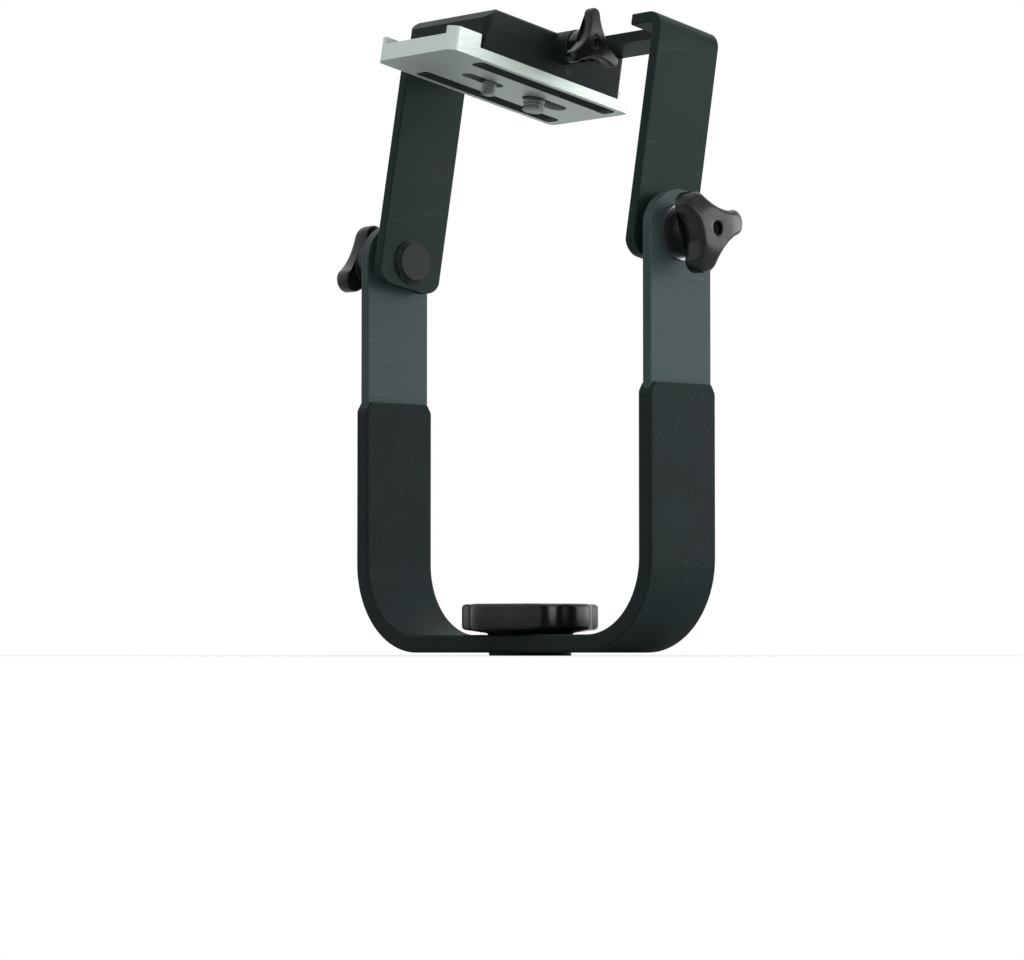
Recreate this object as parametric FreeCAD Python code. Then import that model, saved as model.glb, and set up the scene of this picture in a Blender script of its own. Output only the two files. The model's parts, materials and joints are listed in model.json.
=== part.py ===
import FreeCAD, Part
import math
import os
from FreeCAD import Vector

# Gimbal tripod head for a long lens: a U fork that pans on a threaded foot, an inverted
# U bracket that swings inside it, and a clamp with a sliding lens plate under its crossbar.
# All sizes are millimetres. +Z is up on the pan axis, +X runs across the fork to the side
# of the plate's lock knob, +Y points the way the lens looks. Z = 0 is the face of the foot.

# ---- driving dimensions: fork ----
fork_width = 190.0          # over the grip sleeve
bar_width = 36.0            # flat bar of fork and bracket, along Y
bar_thickness = 5.0
bar_edge = 0.8              # rounding of the bars' long edges
sleeve_wall = 1.4           # grip sleeve moulded round the lower fork
sleeve_height = 113.0       # sleeve's end above its underside
sleeve_bend = 40.0          # outer radius of the sleeve's corners
sleeve_edge = 1.3
sleeve_end_cut_y = 3.0      # cut corners at the sleeve's upper ends
sleeve_end_cut_z = 5.0
foot_drop = 1.3             # foot stands proud below the sleeve
pivot_height = 178.0        # tilt axis above the foot's face

# ---- driving dimensions: foot and pan lock ----
foot_radius = 18.0
journal_radius = 10.0
stem_radius = 8.0
tripod_thread_radius = 3.97  # 3/8 inch thread at its core
tripod_thread_depth = 12.0
pan_bush_wall = 3.0
slip_washer = 0.5           # under the bar
thrust_washer = 1.0         # over the bar
washer_slack = 0.3
pan_knob_radius = 30.25
pan_knob_lobe = 13.5
pan_knob_waist = 27.4
pan_knob_lobes = 7
pan_knob_rim = 11.3
pan_knob_neck = 1.0
pan_knob_dish = 1.4         # rise of the knob's underside from neck to rim
pan_knob_round = 1.8
pan_knob_angle = -42.0      # first lobe, from +X towards +Y
insert_wall = 5.0
stem_screw_radius = 2.5
stem_screw_head = 4.6
stem_screw_head_height = 2.2
stem_screw_lead = 1.2       # gap between the screw's hole and the tripod thread
stem_socket = 1.7           # hexagon socket, to its corners
stem_socket_depth = 1.5
keeper_radius = 12.0
keeper_thickness = 1.1
keeper_play = 0.7

# ---- driving dimensions: swing bracket ----
rest_tilt = 10.0            # degrees, bracket's top leans towards +Y as it stands
swing_width = 168.0         # over the bracket's arms
swing_height = 94.0         # tilt axis to the crossbar's upper face
swing_bend = 8.0
swing_tail = 12.0           # arms' ends below the tilt axis
swing_tail_corner = 8.5
notch_past_clamp = 0.0      # knob pockets in the crossbar start this far past the clamp
notch_end = 66.0
notch_back = 1.0            # crossbar's front edge in the pockets, along Y
pad_front = -8.0            # front edge of the pad over the clamp
notch_corner = 3.0

# ---- driving dimensions: tilt pivots ----
pivot_radius = 5.0
pivot_neck_radius = 7.0
pivot_head_radius = 10.0
pivot_head_height = 2.5
friction_disc_radius = 11.6
tilt_washer_radius = 12.0
tilt_washer = 1.5
tilt_hub_radius = 11.5
tilt_hub_length = 9.3
tilt_head_length = 11.0
tilt_knob_radius = 19.0
tilt_knob_lobe = 5.4
tilt_knob_waist = 9.2
tilt_knob_round = 2.2       # front edge of the head
tilt_knob_flat = 8.5        # flat middle of the head's face, by radius
tilt_knob_drop = 3.0        # the lobes' tips lie this far behind it
tilt_insert_wall = 3.0
tilt_insert_length = 13.5
pivot_thread_length = 12.5  # of the stud inside the knob
knob_hub_taper = 0.94       # hub's narrow end by its wide end
knob_back_bevel = 0.45      # bevel of the head's back edge by its front edge's rounding
knob_eye_radius = 2.8
knob_eye_depth = 3.0
right_knob_angle = 25.0     # first lobe, from +Y towards +Z of the bracket
left_knob_angle = 80.0

# ---- driving dimensions: clamp under the crossbar ----
clamp_half_width = 26.0
clamp_front = -63.5
clamp_length = 81.5
clamp_height = 18.5
clamp_corner = 3.0
clamp_bevel_height = 10.2   # outer flanks lean in below this height
clamp_bevel = 1.6
clamp_top_edge = 1.0        # bevel along the upper long edges
clamp_nose_edge = 4.2       # bevel along the upper front edge
channel_depth = 6.0
rail_slope = 2.3            # undercut of the rails over the channel's depth
rail_gap = 0.2              # plate to fixed rail
far_rail_gap = 1.2          # plate to the rail beside the jaw
lock_y = -17.5
lock_below_top = 5.5        # lock axis under the clamp's upper face
boss_radius = 7.25
boss_length = 8.0
lock_screw_radius = 4.0
lock_hub_length = 6.3
lock_head_length = 5.2
lock_knob_radius = 15.5
lock_knob_lobe = 2.8
lock_knob_waist = 6.3
lock_knob_round = 0.9
lock_knob_flat = 6.0
lock_knob_drop = 0.9
lock_knob_angle = 100.0
lock_screw_seat = 2.0       # depth of the screw in the knob's head
lock_eye_radius = 2.0
lock_eye_depth = 1.5
jaw_length = 30.0
jaw_past_rail = 2.9         # jaw's outer face past the plate's rail
jaw_under_rail = 5.0        # its inner face inside the rail's edge
jaw_roof = 1.5              # jaw's top under the clamp's upper face
jaw_travel = 1.25
jaw_side_gap = 0.35
jaw_gap = 0.15              # jaw to the plate's rail, clamped
guide_pin_radius = 1.5
guide_pin_spread = 8.6
guide_pin_lift = 4.0        # above the rails' lower face
guide_pin_seat = 2.6        # depth in the jaw
grub_radius = 1.5
grub_past_clamp = 4.0       # grub screw out from the clamp's flank, in the boss
clamp_screw_x = 14.0
clamp_screw_rows = (1.0, 12.0)
clamp_screw_radius = 2.5
clamp_screw_head = 5.0
clamp_screw_depth = 8.0
clamp_screw_rim = 0.3       # straight rim of the countersunk heads
clamp_socket = 1.9
clamp_socket_depth = 1.6

# ---- driving dimensions: safety catch ----
catch_y = -48.0
catch_width = 6.0
catch_bar = 2.2
catch_nib = 2.0
catch_nib_length = 5.0
catch_inset = 6.9           # nib's inner end inside the rail's edge
catch_travel = 2.2
catch_tab = 3.2
catch_tab_side = 2.0        # tab past the bar, each way along Y
catch_tab_drop = 2.8
catch_tab_rise = 0.6
catch_tab_round = 1.2
catch_rib_pitch = 2.4       # grooves under the tab
catch_rib_groove = 0.8
catch_rib_depth = 0.5
catch_seat_radius = 1.2     # stub that centres the spring
catch_seat = 1.0
catch_gap = 0.3
spring_radius = 2.1
spring_wire = 0.35          # half the side of its square wire
spring_turns = 3.5
spring_pocket = 4.5

# ---- driving dimensions: sliding lens plate ----
plate_half_width = 25.0
plate_front = -80.5
plate_rear = 25.0
platform_thickness = 4.7
nose_rear = -64.6
nose_corner_x = 3.5
nose_corner_y = 2.5
nose_lip = 5.2              # width of the nose's raised sides
nose_recess = 3.3           # depth of the hollow between them
nose_web = 3.0              # wall between the hollow and the nose's rear face
nose_end_corner = 0.6
rail_half_width = 17.9      # plate's rail at its widest
plate_corner = 3.0
groove_front = -52.5        # ends of the groove that the catch runs in
plate_stop = -4.5
groove_depth = 1.7
front_slot = (-55.0, -25.0)
rear_slot = (-18.0, 12.0)
front_screw_radius = 3.175  # 1/4 inch
rear_screw_radius = 4.7625  # 3/8 inch
front_head_radius = 7.0
rear_head_radius = 8.0
front_screw_y = -36.0
rear_screw_y = -9.0
slot_slack = 0.25
head_height = 3.4
coin_slot = 1.6
screw_washer = 0.8
screw_reach = 5.5           # thread standing out of the plate
screw_relief = 0.5          # thread over the screw's neck inside the plate
screw_lead = 0.7            # bevel at the thread's end
pad_inner = 14.0
pad_width = 8.0
pad_ends = (-60.0, 20.0)
pad_depth = 1.0             # let into the platform
pad_proud = 0.3
pad_corner = 2.0

# ---- running clearances ----
face_gap = 0.05             # between flat faces that turn on each other
running_gap = 0.05          # radial, shaft in its hole
slide_gap = 0.3

# ---- sizes that follow ----
bar_bottom = foot_drop + sleeve_wall
bar_top = bar_bottom + bar_thickness
fork_half = fork_width / 2 - sleeve_wall
swing_half = swing_width / 2
crossbar_under = swing_height - bar_thickness
clamp_top = crossbar_under
clamp_bottom = clamp_top - clamp_height
channel_floor = clamp_bottom + channel_depth
clamp_rear = clamp_front + clamp_length
lock_z = clamp_top - lock_below_top
rail_foot_half = rail_half_width - rail_slope
plate_top = channel_floor - slide_gap
plate_ledge = clamp_bottom - rail_gap
plate_under = plate_ledge - platform_thickness
boss_end = clamp_half_width + boss_length
notch_start = clamp_half_width + notch_past_clamp
grub_x = clamp_half_width + grub_past_clamp
jaw_outer = rail_half_width + jaw_past_rail
jaw_inner = rail_half_width - jaw_under_rail
catch_nib_x = catch_inset - rail_half_width
tilt_hub_start = fork_half + tilt_washer + 2 * face_gap
tilt_face = tilt_hub_start + tilt_hub_length + tilt_head_length
lock_face = boss_end + face_gap + lock_hub_length + lock_head_length
z_axis = Vector(0, 0, 1)
x_axis = Vector(1, 0, 0)
y_axis = Vector(0, 1, 0)


def box(x0, x1, y0, y1, z0, z1):
    return Part.makeBox(x1 - x0, y1 - y0, z1 - z0, Vector(x0, y0, z0))


def rod(radius, z0, z1, x=0.0, y=0.0):
    return Part.makeCylinder(radius, z1 - z0, Vector(x, y, z0), z_axis)


def cross_rod(radius, x0, x1, y=0.0, z=0.0):
    return Part.makeCylinder(radius, x1 - x0, Vector(x0, y, z), x_axis)


def ring(outer, inner, z0, z1):
    return rod(outer, z0, z1).cut(rod(inner, z0 - 1, z1 + 1))


def hex_socket(corner, depth, top, x=0.0, y=0.0):
    """Six-sided hole sunk from a height, measured to its corners."""
    turns = [i * math.pi / 3 for i in range(7)]
    points = [Vector(x + corner * math.cos(turn), y + corner * math.sin(turn), top - depth)
              for turn in turns]
    return Part.Face(Part.makePolygon(points)).extrude(Vector(0, 0, depth + 1))


def turned(profile):
    """Solid of revolution about Z from (radius, height) points."""
    points = [Vector(r, 0, z) for r, z in profile]
    face = Part.Face(Part.makePolygon(points + points[:1]))
    return face.revolve(Vector(0, 0, 0), z_axis, 360)


def to_side(shape, side):
    """Turn a part made along +Z so that it lies along X, outwards on the given side."""
    placed = shape.copy()
    placed.rotate(Vector(0, 0, 0), y_axis, 90)
    if side < 0:
        placed.rotate(Vector(0, 0, 0), z_axis, 180)
    return placed


def rounded_face(corners):
    """Flat face in XY from (x, y, corner radius) points, each corner a tangent arc."""
    edges = []
    count = len(corners)
    joints = []
    for i in range(count):
        x, y, radius = corners[i]
        here = Vector(x, y, 0)
        before = Vector(corners[i - 1][0], corners[i - 1][1], 0) - here
        after = Vector(corners[(i + 1) % count][0], corners[(i + 1) % count][1], 0) - here
        before.normalize()
        after.normalize()
        half = before.getAngle(after) / 2
        if radius > 0:
            reach = radius / math.tan(half)
            middle = (before + after).normalize() * (radius / math.sin(half) - radius)
            joints.append((here + before * reach, here + middle, here + after * reach))
        else:
            joints.append((here, here, here))
    for i in range(count):
        first, middle, last = joints[i]
        if (last - first).Length > 1e-6:
            edges.append(Part.Arc(first, middle, last).toShape())
        following = joints[(i + 1) % count][0]
        if (following - last).Length > 1e-6:
            edges.append(Part.LineSegment(last, following).toShape())
    return Part.Face(Part.Wire(edges))


def rounded_prism(corners, z0, z1):
    prism = rounded_face(corners).extrude(Vector(0, 0, z1 - z0))
    prism.translate(Vector(0, 0, z0))
    return prism


def rounded_plate(x0, x1, y0, y1, z0, z1, radius):
    corners = [(x0, y0, radius), (x1, y0, radius), (x1, y1, radius), (x0, y1, radius)]
    return rounded_prism(corners, z0, z1)


def profile_along_y(points, y0, y1):
    """Prism along Y from (x, z) points."""
    outline = [Vector(x, y0, z) for x, z in points]
    face = Part.Face(Part.makePolygon(outline + outline[:1]))
    return face.extrude(Vector(0, y1 - y0, 0))


def prism_along_x(corners, x0, x1):
    """Prism along X from (y, z, corner radius) points."""
    prism = rounded_face(corners).extrude(Vector(0, 0, x1 - x0))
    prism.rotate(Vector(0, 0, 0), Vector(1, 1, 1), 120)
    prism.translate(Vector(x0, 0, 0))
    return prism


def long_edges(shape, y_half, tolerance=0.01):
    """Edges of a bent bar that lie in its two side faces, ends left out."""
    picked = []
    for edge in shape.Edges:
        ends = [vertex.Point for vertex in edge.Vertexes]
        if all(abs(abs(point.y) - y_half) < tolerance for point in ends):
            if abs(ends[0].y - ends[-1].y) < tolerance:
                picked.append(edge)
    return picked


def bent_bar(half_width, low, high, thickness, bend, width, edge):
    """Flat bar bent to a U: outer half width, underside, arm ends, outer bend radius."""
    inner_half = half_width - thickness
    inner_bend = bend - thickness
    corners = [(-half_width, high, 0), (-half_width, low, bend), (half_width, low, bend),
               (half_width, high, 0), (inner_half, high, 0),
               (inner_half, low + thickness, inner_bend),
               (-inner_half, low + thickness, inner_bend), (-inner_half, high, 0)]
    bar = rounded_face(corners).extrude(Vector(0, 0, width))
    bar.translate(Vector(0, 0, -width / 2))
    bar.rotate(Vector(0, 0, 0), x_axis, 90)
    return bar.makeFillet(edge, long_edges(bar, width / 2))


def lobed_face(tip, lobe, waist, count, angle):
    """Knob outline: lobes of one radius, hollows of another, tangent where they meet."""
    reach = tip - lobe
    step = math.pi / count
    meet = math.cos(step)
    hollow = (reach ** 2 + waist ** 2 - 2 * reach * waist * meet - lobe ** 2)
    hollow = hollow / (2 * (reach * meet + lobe - waist))

    def polar(radius, turn):
        return Vector(radius * math.cos(turn), radius * math.sin(turn), 0)

    edges = []
    start = math.radians(angle)
    for i in range(count):
        turn = start + 2 * i * step
        centre = polar(reach, turn)
        after = polar(waist + hollow, turn + step)
        before = polar(waist + hollow, turn - step)
        leave = centre + (after - centre).normalize() * lobe
        enter = centre + (before - centre).normalize() * lobe
        next_centre = polar(reach, turn + 2 * step)
        arrive = next_centre + (after - next_centre).normalize() * lobe
        edges.append(Part.Arc(enter, polar(tip, turn), leave).toShape())
        edges.append(Part.Arc(leave, polar(waist, turn + step), arrive).toShape())
    return Part.Face(Part.Wire(edges))


def swing_place(shape):
    """Lean a part of the bracket, made upright about the tilt axis, to where it stands."""
    placed = shape.copy()
    placed.rotate(Vector(0, 0, 0), x_axis, -rest_tilt)
    placed.translate(Vector(0, 0, pivot_height))
    return placed


# ---- fork ----

def fork_bar():
    return bent_bar(fork_half, bar_bottom, pivot_height + bar_width / 2, bar_thickness,
                    sleeve_bend - sleeve_wall, bar_width, bar_edge)


def fork_frame():
    """Bent bar whose arms end in half circles round the tilt axis."""
    reach = fork_half + 1
    keep = box(-reach, reach, -bar_width / 2, bar_width / 2, 0, pivot_height)
    keep = keep.fuse(cross_rod(bar_width / 2, -reach, reach, 0, pivot_height))
    bar = fork_bar().common(keep)
    bar = bar.cut(rod(journal_radius + running_gap + pan_bush_wall, 0, bar_top + 1))
    return bar.cut(cross_rod(pivot_neck_radius, -fork_half - 1, fork_half + 1, 0, pivot_height))


def grip_sleeve():
    top = foot_drop + sleeve_height
    width = bar_width + 2 * sleeve_wall
    sleeve = bent_bar(fork_width / 2, foot_drop, top, bar_thickness + 2 * sleeve_wall,
                      sleeve_bend, width, sleeve_edge)
    half = width / 2
    shoulder = top - sleeve_end_cut_z
    side = [(-half, 0, 0), (half, 0, 0), (half, shoulder, 1), (half - sleeve_end_cut_y, top, 1),
            (sleeve_end_cut_y - half, top, 1), (-half, shoulder, 1)]
    sleeve = sleeve.common(prism_along_x(side, -fork_width / 2, fork_width / 2))
    sleeve = sleeve.cut(fork_bar())
    return sleeve.cut(rod(foot_radius + 2 * washer_slack, 0, bar_top + sleeve_wall + 1))


# ---- foot and pan lock ----

def foot():
    """Threaded foot: flange, journal for the fork, stem for the lock knob."""
    flange_top = bar_bottom - slip_washer - 2 * face_gap
    journal_top = bar_top - 2 * face_gap
    stem_top = pan_knob_top() - stem_screw_head_height - keeper_thickness - 0.5
    core = tripod_thread_radius
    profile = [(core, 0), (foot_radius - 0.5, 0), (foot_radius, 0.5), (foot_radius, flange_top),
               (journal_radius, flange_top), (journal_radius, journal_top),
               (stem_radius, journal_top), (stem_radius, stem_top - 0.8),
               (stem_radius - 0.8, stem_top), (0, stem_top), (0, tripod_thread_depth),
               (core, tripod_thread_depth)]
    screw_hole = rod(stem_screw_radius, tripod_thread_depth + stem_screw_lead, stem_top + 1)
    return turned(profile).cut(screw_hole)


def pan_knob_base():
    return bar_top + face_gap + thrust_washer + face_gap


def pan_knob_top():
    return pan_knob_base() + pan_knob_neck + pan_knob_dish + pan_knob_rim


def pan_recess_floor():
    stem_top = pan_knob_top() - stem_screw_head_height - keeper_thickness - 0.5
    return stem_top - keeper_play


def slip_washer_ring():
    top = bar_bottom - face_gap
    return ring(foot_radius - 1, journal_radius + washer_slack, top - slip_washer, top)


def thrust_washer_ring():
    low = bar_top + face_gap
    return ring(foot_radius, stem_radius + washer_slack, low, low + thrust_washer)


def pan_bush():
    bore = journal_radius + running_gap
    return ring(bore + pan_bush_wall, bore, bar_bottom, bar_top)


def pan_knob():
    base = pan_knob_base()
    top = pan_knob_top()
    floor = pan_recess_floor()
    insert_radius = stem_radius + insert_wall
    rim_low = base + pan_knob_neck + pan_knob_dish
    edge = pan_knob_round
    tip = pan_knob_radius
    profile = [(insert_radius, base), (foot_radius, base),
               (foot_radius + 1, base + pan_knob_neck), (tip - edge, rim_low),
               (tip - edge * 0.3, rim_low + edge * 0.3), (tip, rim_low + edge),
               (tip, top - edge), (tip - edge * 0.3, top - edge * 0.3), (tip - edge, top),
               (keeper_radius + 3.5, top), (keeper_radius + 2, top - 1.5),
               (keeper_radius + 2, floor), (insert_radius, floor)]
    outline = lobed_face(tip, pan_knob_lobe, pan_knob_waist, pan_knob_lobes, pan_knob_angle)
    grip = outline.extrude(Vector(0, 0, top - base + 2))
    grip.translate(Vector(0, 0, base - 1))
    return turned(profile).common(grip)


def pan_knob_insert():
    bore = stem_radius + running_gap
    return ring(stem_radius + insert_wall, bore, pan_knob_base(), pan_recess_floor())


def stem_keeper():
    low = pan_recess_floor() + keeper_play
    return ring(keeper_radius, stem_screw_radius, low, low + keeper_thickness)


def stem_screw():
    seat = pan_recess_floor() + keeper_play + keeper_thickness
    head = stem_screw_head
    top = seat + stem_screw_head_height
    tip = tripod_thread_depth + stem_screw_lead
    profile = [(0, tip), (stem_screw_radius, tip), (stem_screw_radius, seat), (head, seat),
               (head, seat + 0.9), (head * 0.85, top - 0.5), (head * 0.6, top), (0, top)]
    return turned(profile).cut(hex_socket(stem_socket, stem_socket_depth, top))


# ---- swing bracket and tilt pivots ----

def swing_bracket():
    bar = bent_bar(swing_half, -swing_height, bar_width / 2, bar_thickness, swing_bend,
                   bar_width, bar_edge)
    bar.rotate(Vector(0, 0, 0), y_axis, 180)
    half = bar_width / 2
    side = [(-half, -swing_tail, swing_tail_corner), (half, -swing_tail, swing_tail_corner),
            (half, swing_height + 1, 0), (-half, swing_height + 1, 0)]
    bar = bar.common(prism_along_x(side, -swing_half - 1, swing_half + 1))
    front = -bar_width / 2 - 5
    corner = notch_corner
    notch = [(-notch_end, front, 0), (notch_end, front, 0), (notch_end, notch_back, corner),
             (notch_start, notch_back, corner), (notch_start, pad_front, corner),
             (-notch_start, pad_front, corner), (-notch_start, notch_back, corner),
             (-notch_end, notch_back, corner)]
    bar = bar.cut(rounded_prism(notch, crossbar_under - 5, swing_height + 5))
    bar = bar.cut(cross_rod(pivot_neck_radius, -swing_half - 1, swing_half + 1))
    for x, y in clamp_screw_places():
        bar = bar.cut(clamp_screw_shape(x, y))
    return bar


def clamp_screw_places():
    return [(side * clamp_screw_x, row) for side in (-1, 1) for row in clamp_screw_rows]


def clamp_screw_shape(x, y):
    """Countersunk screw from the crossbar's upper face down into the clamp."""
    top = swing_height
    head = clamp_screw_head
    taper = head - clamp_screw_radius
    tip = clamp_top - clamp_screw_depth
    rim = top - clamp_screw_rim
    profile = [(0, tip), (clamp_screw_radius, tip), (clamp_screw_radius, rim - taper),
               (head, rim), (head, top), (0, top)]
    screw = turned(profile)
    screw.translate(Vector(x, y, 0))
    return screw


def clamp_screws():
    screws = []
    for x, y in clamp_screw_places():
        socket = hex_socket(clamp_socket, clamp_socket_depth, swing_height, x, y)
        screws.append(clamp_screw_shape(x, y).cut(socket))
    return Part.makeCompound(screws)


def pivot_stud(side):
    """Stud pressed through the bracket's arm, running out through the fork's arm."""
    arm_in = swing_half - bar_thickness
    tip = tilt_hub_start + pivot_thread_length
    head = pivot_head_radius
    neck = pivot_neck_radius
    profile = [(0, arm_in - pivot_head_height), (head - 2, arm_in - pivot_head_height),
               (head, arm_in - 1), (head, arm_in), (neck, arm_in), (neck, swing_half),
               (pivot_radius, swing_half), (pivot_radius, tip - 0.8), (pivot_radius - 0.8, tip),
               (0, tip)]
    return to_side(turned(profile), side)


def friction_disc(side):
    low = swing_half + face_gap
    high = fork_half - bar_thickness - face_gap
    disc = ring(friction_disc_radius, pivot_radius + washer_slack, low, high)
    return to_side(disc, side)


def tilt_bush(side):
    bush = ring(pivot_neck_radius, pivot_radius + running_gap, fork_half - bar_thickness, fork_half)
    return to_side(bush, side)


def tilt_washer_ring(side):
    low = fork_half + face_gap
    washer = ring(tilt_washer_radius, pivot_radius + washer_slack, low, low + tilt_washer)
    return to_side(washer, side)


def level_edges(shape, height):
    picked = []
    for edge in shape.Edges:
        if all(abs(vertex.Point.z - height) < 0.01 for vertex in edge.Vertexes):
            picked.append(edge)
    return picked


def face_edges(head, height):
    """Edges between the head's face and its sides, which all lie above a height."""
    picked = []
    for edge in head.Edges:
        point = edge.valueAt(edge.FirstParameter)
        sides = [face for face in head.ancestorsOfType(edge, Part.Face)
                 if abs(face.normalAt(*face.Surface.parameter(point)).z) < 0.1]
        if sides and all(vertex.Point.z > height for vertex in edge.Vertexes):
            picked.append(edge)
    return picked


def star_knob(start, hub_radius, hub_length, head_length, tip, lobe, waist, edge, face, angle):
    """Three-lobed knob along +Z: tapered hub, then the lobed head, rounder at its outer face.

    The face is flat up to a radius and falls back from there to the lobes' tips by a drop.

    Once the knob lies along +X, its first lobe is at the angle from +Y towards +Z."""
    back = start + hub_length
    front = back + head_length
    flat, drop = face
    head = lobed_face(tip, lobe, waist, 3, angle + 90).extrude(Vector(0, 0, head_length))
    head.translate(Vector(0, 0, back))
    head = head.common(turned([(0, back), (tip + 1, back),
                               (tip + 1, front - drop * (tip + 1 - flat) / (tip - flat)),
                               (flat, front), (0, front)]))
    head = head.makeFillet(edge, face_edges(head, front - 1.5 * drop))
    head = head.makeChamfer(edge * knob_back_bevel, level_edges(head, back))
    collar = Part.makeCone(hub_radius * knob_hub_taper, hub_radius, hub_length,
                           Vector(0, 0, start), z_axis)
    return head.fuse(collar).removeSplitter()


def tilt_knob(side, angle):
    start = tilt_hub_start
    knob = star_knob(start, tilt_hub_radius, tilt_hub_length, tilt_head_length,
                     tilt_knob_radius, tilt_knob_lobe, tilt_knob_waist, tilt_knob_round,
                     (tilt_knob_flat, tilt_knob_drop), angle)
    knob = knob.cut(rod(pivot_radius + tilt_insert_wall, start - 1, start + tilt_insert_length))
    eye = rod(knob_eye_radius, tilt_face - knob_eye_depth, tilt_face + 1)
    return to_side(knob.cut(eye), side)


def tilt_knob_insert(side):
    start = tilt_hub_start
    bush = ring(pivot_radius + tilt_insert_wall, pivot_radius + running_gap,
                start, start + tilt_insert_length)
    return to_side(bush, side)


# ---- clamp ----

def clamp_block():
    """Outer form of the clamp: leaning flanks, bevelled upper edges, rounded corners."""
    bevel_z = clamp_bottom + clamp_bevel_height
    half = clamp_half_width
    foot_half = half - clamp_bevel
    top_half = half - clamp_top_edge
    shoulder = clamp_top - clamp_top_edge
    section = [(-top_half, clamp_top), (-half, shoulder), (-half, bevel_z),
               (-foot_half, clamp_bottom), (foot_half, clamp_bottom), (half, bevel_z),
               (half, shoulder), (top_half, clamp_top)]
    body = profile_along_y(section, clamp_front, clamp_rear)
    body = body.common(rounded_plate(-half, half, clamp_front, clamp_rear,
                                     clamp_bottom - 1, clamp_top + 1, clamp_corner))
    side = [(clamp_front, clamp_bottom - 1, 0), (clamp_rear, clamp_bottom - 1, 0),
            (clamp_rear, clamp_top + 1, 0), (clamp_front + clamp_nose_edge + 1, clamp_top + 1, 0),
            (clamp_front, clamp_top - clamp_nose_edge, 0)]
    return body.common(prism_along_x(side, -half, half))


def clamp_body():
    half = clamp_half_width
    body = clamp_block()
    body = body.fuse(cross_rod(boss_radius, half - 4, boss_end, lock_y, lock_z))
    floor_half = rail_half_width + rail_gap
    lip_half = rail_foot_half + rail_gap
    shift = far_rail_gap - rail_gap
    channel = [(-floor_half, channel_floor), (-lip_half, clamp_bottom),
               (lip_half + shift, clamp_bottom), (floor_half + shift, channel_floor)]
    drop = [(-lip_half, clamp_bottom), (-lip_half, clamp_bottom - 3),
            (lip_half + shift, clamp_bottom - 3), (lip_half + shift, clamp_bottom)]
    body = body.cut(profile_along_y(channel, clamp_front - 1, clamp_rear + 1))
    body = body.cut(profile_along_y(drop, clamp_front - 1, clamp_rear + 1))
    body = body.cut(jaw_pocket())
    body = body.cut(cross_rod(lock_screw_radius + running_gap, jaw_outer, boss_end + 1,
                              lock_y, lock_z))
    for y in guide_pin_places():
        body = body.cut(cross_rod(guide_pin_radius + running_gap, jaw_outer, half + 1,
                                  y, clamp_bottom + guide_pin_lift))
    body = body.cut(rod(grub_radius, lock_z, clamp_top + boss_radius, grub_x, lock_y))
    body = body.cut(catch_slot())
    body = body.cut(rod(spring_radius + spring_wire + 0.25, channel_floor,
                        spring_ceiling(), catch_spring_x(), catch_y))
    for x, y in clamp_screw_places():
        body = body.cut(rod(clamp_screw_radius, clamp_top - clamp_screw_depth, clamp_top + 1, x, y))
    return body


def jaw_pocket():
    reach = jaw_length / 2 + slide_gap
    outer = jaw_outer + jaw_travel + jaw_side_gap
    return box(jaw_inner - slide_gap, outer, lock_y - reach, lock_y + reach,
               clamp_bottom - 3, clamp_top - jaw_roof + slide_gap)


def rail_half_at(height):
    """Half width of the plate's rail at a height."""
    return rail_foot_half + rail_slope * (height - plate_ledge) / (plate_top - plate_ledge)


def guide_pin_places():
    return (lock_y - guide_pin_spread / 2, lock_y + guide_pin_spread / 2)


def clamp_jaw():
    """Jaw in its pocket: a lip under the plate's rail and a block that the screw draws."""
    top = clamp_top - jaw_roof
    lip = rail_half_at(clamp_bottom) + jaw_gap
    floor_half = rail_half_at(channel_floor) + jaw_gap
    section = [(jaw_inner, top), (jaw_inner, channel_floor), (floor_half, channel_floor),
               (lip, clamp_bottom), (jaw_outer, clamp_bottom), (jaw_outer, top)]
    jaw = profile_along_y(section, lock_y - jaw_length / 2, lock_y + jaw_length / 2)
    jaw = jaw.cut(cross_rod(lock_screw_radius + running_gap, jaw_inner - 1, jaw_outer + 1,
                            lock_y, lock_z))
    return jaw.cut(jaw_pin_holes())


def jaw_pin_holes():
    rods = [cross_rod(guide_pin_radius, jaw_outer - guide_pin_seat, jaw_outer + 1, y,
                      clamp_bottom + guide_pin_lift) for y in guide_pin_places()]
    return rods[0].fuse(rods[1])


def jaw_guide_pins():
    end = clamp_half_width - clamp_bevel + 0.6
    height = clamp_bottom + guide_pin_lift
    return Part.makeCompound([cross_rod(guide_pin_radius, jaw_outer - guide_pin_seat, end, y, height)
                              for y in guide_pin_places()])


def lock_screw():
    radius = lock_screw_radius
    groove = 2.2
    start = jaw_inner + 0.4
    end = boss_end + face_gap + lock_hub_length + lock_screw_seat
    left = grub_x - grub_radius - 0.3
    right = grub_x + grub_radius + 0.3
    profile = [(0, start), (radius - 0.8, start), (radius, start + 0.8), (radius, left),
               (groove, left), (groove, right), (radius, right), (radius, end), (0, end)]
    screw = to_side(turned(profile), 1)
    screw.translate(Vector(0, lock_y, lock_z))
    return screw


def lock_knob():
    start = boss_end + face_gap
    knob = star_knob(start, boss_radius, lock_hub_length, lock_head_length, lock_knob_radius,
                     lock_knob_lobe, lock_knob_waist, lock_knob_round,
                     (lock_knob_flat, lock_knob_drop), lock_knob_angle)
    knob = knob.cut(rod(lock_screw_radius, start - 1, start + lock_hub_length + lock_screw_seat))
    eye = rod(lock_eye_radius, lock_face - lock_eye_depth, lock_face + 1)
    knob = to_side(knob.cut(eye), 1)
    knob.translate(Vector(0, lock_y, lock_z))
    return knob


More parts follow.
